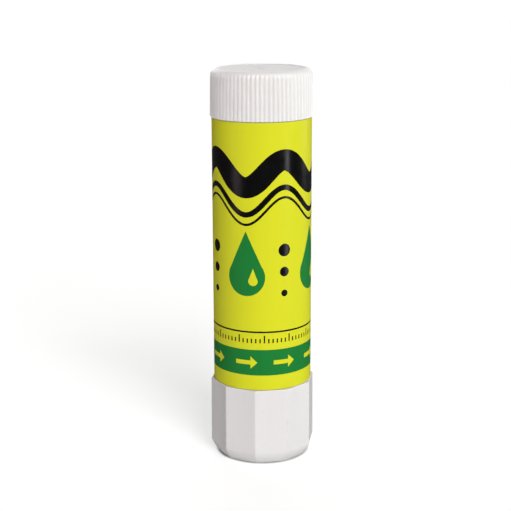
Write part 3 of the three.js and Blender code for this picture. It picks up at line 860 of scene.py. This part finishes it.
def make_glue():
    """The glue, cast round the spindle, with its tip just inside the mouth. As it is used up it
    shortens towards its ledge over the carrier's rim, so that it stays clear of the carrier."""
    foot_radius = CARRIER_RADIUS - 1.0
    hole_radius = 2.9
    hub_room_radius = 4.0
    hub_roof = CARRIER_RIM - 0.7
    ledge = CARRIER_RIM + FACE_GAP
    corners = [
        (hub_room_radius, GLUE_BOTTOM, 0.1),
        (foot_radius, GLUE_BOTTOM, 0.3),
        (foot_radius, ledge, 0.1),
        (GLUE_RADIUS, ledge, 0),
        (GLUE_RADIUS, ledge + HOLD, 0),
        (GLUE_RADIUS, GLUE_TIP - 0.35, 1.2),
        (0, GLUE_TIP, 0),
        (0, SPINDLE_TOP + FACE_GAP, 0),
        (hole_radius, SPINDLE_TOP + FACE_GAP, 0.3),
        (hole_radius, hub_roof, 0.2),
        (hub_room_radius, hub_roof, 0.2),
    ]
    points = rounded(corners)
    slot_width = KEY_WIDTH + 2 * SLIDING_GAP
    slot_radius = BORE_RADIUS - KEY_HEIGHT - SLIDING_GAP
    flanks = key_angles(GLUE_RADIUS, slot_width)
    glue = turned("glue_cast", points, ROUND_STEPS, closed=True, extra_angles=flanks)
    shaped(glue, key_rule("glue_slots", slot_radius, slot_width, MOUTH), WHITE_GLUE)
    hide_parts("glue_stick")
    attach(glue, "carrier")
    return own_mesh(glue)


# The label: a wrapped film whose printed shapes are part of its mesh


LABEL_COLUMNS = 144
LABEL_ROWS = 18
LABEL_THICKNESS = 0.1
FILM_OVERLAP = 1.6  # at the back, where one end of the film is stuck over the other
FILM_STEP = 0.11
LIFT_LENGTH = 0.8  # in which the film climbs onto its own start
LIFT_STEPS = 8
HALF_WRAP = math.pi * LABEL_RADIUS
FILM_END = HALF_WRAP + FILM_OVERLAP
WAVE_COUNT = 4
WAVE_LENGTH = 2 * HALF_WRAP / WAVE_COUNT
WAVE_STEPS = 40  # per wave
WAVE_SHIFT = 4.6
TICK_COUNT = 72
YELLOW, BLACK, GREEN = range(3)


class Shape:
    """A closed printed shape, given by its corners."""

    def __init__(self, colour, points):
        self.colour, self.points = colour, points

    def holds(self, s, z):
        """Whether the point lies inside the shape."""
        inside = False
        for (s0, z0), (s1, z1) in zip(self.points, self.points[1:] + self.points[:1]):
            if (z0 > z) != (z1 > z) and s < s0 + (z - z0) * (s1 - s0) / (z1 - z0):
                inside = not inside
        return inside


def wave_edge(middle, swing, offset):
    """One edge of a band that runs round the label in waves, at that distance from its middle
    line. It starts before the film and ends past it, and is cut off at the film's two ends."""
    spare = abs(offset)
    start, end = -HALF_WRAP - spare, FILM_END + spare
    count = round((end - start) / WAVE_LENGTH * WAVE_STEPS)
    turn = 2 * math.pi / WAVE_LENGTH
    edge = []
    for i in range(count + 1):
        s = start + (end - start) * i / count
        angle = turn * (s - WAVE_SHIFT)
        slope = -swing * turn * math.sin(angle)
        across = offset / math.hypot(1, slope)
        edge.append((s - slope * across, middle + swing * math.cos(angle) + across))

    def cut_at(limit):
        (s0, z0), (s1, z1) = next(pair for pair in zip(edge, edge[1:]) if pair[1][0] >= limit)
        return (limit, z0 + (z1 - z0) * (limit - s0) / (s1 - s0))

    inside = [point for point in edge if -HALF_WRAP < point[0] < FILM_END]
    return [cut_at(-HALF_WRAP), *inside, cut_at(FILM_END)]


def band(middle, swing, width):
    """A band of even width all the way round, straight where swing is 0."""
    upper = wave_edge(middle, swing, width / 2)
    lower = wave_edge(middle, swing, -width / 2)
    return upper + lower[::-1]


def bar(middle, base, width, height):
    """An upright bar that stands on its base."""
    return [
        (middle - width / 2, base),
        (middle + width / 2, base),
        (middle + width / 2, base + height),
        (middle - width / 2, base + height),
    ]


def drop(middle, base, radius, tip):
    """A drop: a round belly with a pointed top."""
    start = math.radians(-215)
    end = math.radians(35)
    belly = [
        (
            middle + radius * math.cos(start + (end - start) * i / 28),
            base + radius * math.sin(start + (end - start) * i / 28),
        )
        for i in range(29)
    ]
    return belly + [(middle, tip)]


def arrow(middle, base, length, width):
    """An arrow that points the way the knob turns to raise the glue."""
    half = length / 2
    neck = middle + half - 0.55 * width
    return [
        (middle - half, base - 0.17 * width),
        (neck, base - 0.17 * width),
        (neck, base - 0.5 * width),
        (middle + half, base),
        (neck, base + 0.5 * width),
        (neck, base + 0.17 * width),
        (middle - half, base + 0.17 * width),
    ]


def dot(middle, base, radius):
    """A round dot."""
    return [
        (middle + radius * math.cos(math.radians(a)), base + radius * math.sin(math.radians(a)))
        for a in range(0, 360, 20)
    ]


def printed_shapes():
    """The print, later shapes on top of earlier ones."""
    shapes = [
        Shape(BLACK, band(60.3, 2.7, 4.2)),
        Shape(BLACK, band(54.9, 2.7, 1.1)),
        Shape(BLACK, band(52.9, 2.7, 0.5)),
        Shape(BLACK, band(28.3, 0.0, 0.35)),
        Shape(GREEN, band(21.9, 0.0, 5.4)),
    ]
    tick_step = 2 * HALF_WRAP / TICK_COUNT
    for k in range(round((HALF_WRAP + FILM_END) / tick_step)):
        middle = -HALF_WRAP + (k + 0.5) * tick_step
        shapes.append(Shape(BLACK, bar(middle, 26.0, 0.28, 1.6 if k % 6 == 0 else 0.9)))
    for k in range(WAVE_COUNT):
        trough = WAVE_SHIFT + (k - 1.5) * WAVE_LENGTH
        shapes.append(Shape(GREEN, drop(trough, 39.6, 3.9, 48.9)))
        shapes.append(Shape(YELLOW, drop(trough + 1.45, 38.8, 0.95, 41.4)))
        crest = trough + WAVE_LENGTH / 2
        crest -= 2 * HALF_WRAP if crest > HALF_WRAP - 4 else 0
        for row, radius in enumerate((1.3, 1.0, 0.7)):
            shapes.append(Shape(BLACK, dot(crest, 45.0 - 4.4 * row, radius)))
        for middle in (trough, crest):
            shapes.append(Shape(YELLOW, arrow(middle, 21.9, 4.6, 2.6)))
    return shapes


def make_label():
    """The film: a flat sheet of triangles that follow every printed edge, then wrapped round."""
    shapes = printed_shapes()
    points, edges = [], []

    def add_line(line, closed):
        first = len(points)
        points.extend(Vector(p) for p in line)
        edges.extend((first + i, first + i + 1) for i in range(len(line) - 1))
        if closed:
            edges.append((first + len(line) - 1, first))

    row_step = (FILM_TOP - FILM_BOTTOM) / LABEL_ROWS
    column_step = 2 * HALF_WRAP / LABEL_COLUMNS
    lift_step = FILM_OVERLAP / LIFT_STEPS
    columns = [-HALF_WRAP + column_step * i for i in range(LABEL_COLUMNS)]
    columns += [HALF_WRAP + lift_step * i for i in range(-LIFT_STEPS, LIFT_STEPS + 1)]
    columns.sort()
    for s in columns:
        add_line([(s, FILM_BOTTOM + row * row_step) for row in range(LABEL_ROWS + 1)], False)
    for z in (FILM_BOTTOM, FILM_TOP):
        add_line([(s, z) for s in columns], False)
    for shape in shapes:
        add_line(shape.points, True)
    flat, _, triangles, _, _, _ = delaunay_2d_cdt(points, edges, [], 0, 1e-4, True)

    def lift(s):
        """How far the film lies off its first layer, where it climbs over its own start."""
        share = min(max((s - HALF_WRAP) / LIFT_LENGTH + 1, 0), 1)
        return FILM_STEP * share * share * (3 - 2 * share)

    def wrapped(s, z, depth):
        angle = FRONT + s / LABEL_RADIUS
        radius = LABEL_RADIUS + lift(s) - depth
        return (radius * math.cos(angle) * MM, radius * math.sin(angle) * MM, z * MM)

    def outward(s):
        """The film's direction outwards, tilted where it climbs."""
        angle = FRONT + s / LABEL_RADIUS
        slope = (lift(s + HOLD) - lift(s - HOLD)) / (2 * HOLD)
        radial = Vector((math.cos(angle), math.sin(angle), 0))
        along = Vector((-math.sin(angle), math.cos(angle), 0))
        return (radial - slope * along).normalized()

    outer = [wrapped(p.x, p.y, 0) for p in flat]
    inner = [wrapped(p.x, p.y, LABEL_THICKNESS) for p in flat]
    count = len(flat)
    faces, colours = [], []
    for triangle in triangles:
        middle = sum((flat[i] for i in triangle), Vector((0, 0))) / 3
        colour = YELLOW
        for shape in shapes:
            if shape.holds(middle.x, middle.y):
                colour = shape.colour
        faces.append(list(triangle))
        colours.append(colour)
    rim = {}
    for triangle in triangles:
        for a, b in zip(triangle, triangle[1:] + triangle[:1]):
            if (b, a) in rim:
                del rim[(b, a)]
            else:
                rim[(a, b)] = True
    faces += [[count + i for i in reversed(triangle)] for triangle in triangles]
    faces += [[b, a, count + a, count + b] for a, b in rim]
    colours += [YELLOW] * (len(faces) - len(colours))
    label = new_piece("label_wrap", outer + inner, faces)
    for finish in (YELLOW_FILM, BLACK_INK, GREEN_INK):
        label.data.materials.append(finish)
    label.data.polygons.foreach_set("material_index", colours)
    normals = [outward(flat[loop.vertex_index % count].x) for loop in label.data.loops]
    for polygon in label.data.polygons[2 * len(triangles):]:
        for loop in polygon.loop_indices:
            normals[loop] = polygon.normal
    for polygon in label.data.polygons[len(triangles):2 * len(triangles)]:
        for loop in polygon.loop_indices:
            normals[loop] = -normals[loop]
    label.data.normals_split_custom_set([tuple(n) for n in normals])
    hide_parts("label_sleeve")
    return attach(label, "barrel")


# Stage, light and camera


FLOOR_RADIUS = 1.5  # metres
BACKDROP_RADIUS = 2.4


def make_stage():
    """A plain pale table, a little lit from within as a light table is, whose glow fades out round
    the knob's foot as a painted contact shadow, and a white backdrop.
    """
    floor = turned("floor", [Vector((0, 0)), Vector((FLOOR_RADIUS / MM, 0))], 96, closed=False)
    material, shader, place = new_finish("pale_floor")
    tree = material.node_tree
    tone = spread(tree, noise(tree, place, 60), 0, 1)
    base = mixed(tree, tone, (0.43, 0.43, 0.43), (0.41, 0.41, 0.41))
    tree.links.new(base, shader.inputs["Base Color"])
    shader.inputs["Roughness"].default_value = 0.7
    shader.inputs["Specular IOR Level"].default_value = 0.1
    # Painted contact shadow: the table's glow is cut away under and just round the knob's foot, so
    # a dark ring lies round the foot's edge.
    painted_shadow_from, painted_shadow_to = (FOOT_RADIUS - 0.1) * MM, (FOOT_RADIUS + 0.6) * MM
    glow = spread(tree, off_axis(tree, place), 0, 0.6, painted_shadow_from, painted_shadow_to)
    tree.links.new(glow, shader.inputs["Emission Strength"])
    shader.inputs["Emission Color"].default_value = (1, 1, 1, 1)
    floor.visible_glossy = False
    floor.data.materials.append(material)
    arc = [math.radians(a) for a in range(-10, 91, 5)]
    points = [Vector((math.cos(a), math.sin(a))) * (BACKDROP_RADIUS / MM) for a in arc]
    points[-1].x = 0
    backdrop = turned("backdrop", points, 96, closed=False)
    white = bpy.data.materials.new("white_backdrop")
    white.use_nodes = True
    white.node_tree.nodes.clear()
    glow = add_node(white.node_tree, "ShaderNodeEmission", {"Strength": 1.1})
    add_node(white.node_tree, "ShaderNodeOutputMaterial", {"Surface": glow.outputs[0]})
    backdrop.data.materials.append(white)
    backdrop.visible_diffuse = False
    backdrop.visible_glossy = False
    backdrop.visible_shadow = False
    backdrop.visible_transmission = False


def make_lamp(name, azimuth, elevation, spread_angle, share, colour, gleams=True):
    """A broad, distant light. Azimuth 0 is the camera's side, and 90 is its right. The share is
    how much of full white it gives a white surface that faces it."""
    light = bpy.data.lights.new(name, "SUN")
    light.angle = math.radians(spread_angle)
    light.energy = math.pi * share
    light.color = colour
    lamp = bpy.data.objects.new(name, light)
    bpy.context.scene.collection.objects.link(lamp)
    a, e = math.radians(azimuth), math.radians(elevation)
    away = Vector((math.sin(a) * math.cos(e), -math.cos(a) * math.cos(e), math.sin(e)))
    lamp.location = away * 0.5
    lamp.rotation_mode = "QUATERNION"
    lamp.rotation_quaternion = away.to_track_quat("Z", "Y")
    lamp.visible_glossy = gleams
    return lamp


def make_strip(name, azimuth, distance, width, height, power):
    """A tall, narrow light that stands on the table just out of view, and leaves an upright streak
    on glossy print. The azimuth is as for a lamp, and the distance and size are in metres."""
    light = bpy.data.lights.new(name, "AREA")
    light.shape = "RECTANGLE"
    light.size = width
    light.size_y = height
    light.energy = power
    strip = bpy.data.objects.new(name, light)
    bpy.context.scene.collection.objects.link(strip)
    a = math.radians(azimuth)
    away = Vector((math.sin(a), -math.cos(a), 0))
    strip.location = away * distance + Vector((0, 0, height / 2))
    strip.rotation_mode = "QUATERNION"
    strip.rotation_quaternion = away.to_track_quat("Z", "Y")
    strip.visible_camera = False
    return strip


def make_light():
    """A faint glow from all round, a broad key light from the right, fills and the strip."""
    world = bpy.data.worlds.new("studio")
    world.use_nodes = True
    tree = world.node_tree
    tree.nodes.clear()
    back = add_node(tree, "ShaderNodeBackground", {"Color": (1, 0.98, 0.99, 1), "Strength": 0.05})
    add_node(tree, "ShaderNodeOutputWorld", {"Surface": back.outputs[0]})
    bpy.context.scene.world = world
    make_lamp("key", 23, 36, 30, 1.1, (1, 0.995, 0.985))
    make_lamp("left_fill", -60, 10, 40, 0.18, (1, 0.78, 0.84))
    make_strip("right_strip", 58, 0.16, 0.02, 0.24, 0.04)
    make_lamp("right_rim", 115, 12, 40, 0.24, (1, 1, 1))
    make_lamp("back", 180, 20, 60, 0.55, (1, 1, 1), gleams=False)


def make_camera():
    """The camera, where a fit to the stick's outline in the photograph puts it."""
    distance, height = 258.5, 104.87
    pitch, yaw, roll = math.radians(13.735), -0.0052, -0.0039
    focal_pixels, frame_pixels = 1298, 511
    camera = bpy.data.cameras.new("camera")
    camera.sensor_width = 36
    camera.lens = camera.sensor_width * focal_pixels / frame_pixels
    camera.clip_start = 0.01
    camera.clip_end = 10
    ahead = Vector((math.sin(yaw), math.cos(yaw), 0))
    level = Vector((math.cos(yaw), -math.sin(yaw), 0))
    forward = math.cos(pitch) * ahead - math.sin(pitch) * Vector((0, 0, 1))
    upright = level.cross(forward)
    right = math.cos(roll) * level + math.sin(roll) * upright
    up = math.cos(roll) * upright - math.sin(roll) * level
    turn = Matrix((right, up, -forward)).transposed().to_4x4()
    viewer = bpy.data.objects.new("camera", camera)
    viewer.matrix_world = Matrix.Translation((0, -distance * MM, height * MM)) @ turn
    bpy.context.scene.collection.objects.link(viewer)
    bpy.context.scene.camera = viewer
    return viewer


make_camera()
make_light()
make_stage()
make_cap()
make_liner()
make_barrel()
make_knob()
make_glue()
make_label()
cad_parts["spindle"].data.materials.clear()
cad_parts["spindle"].data.materials.append(SPINDLE_GREY)
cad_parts["carrier"].data.materials.clear()
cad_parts["carrier"].data.materials.append(TUBE_WHITE)

scene = bpy.context.scene
scene.view_settings.view_transform = "Standard"

bpy.context.view_layer.update()
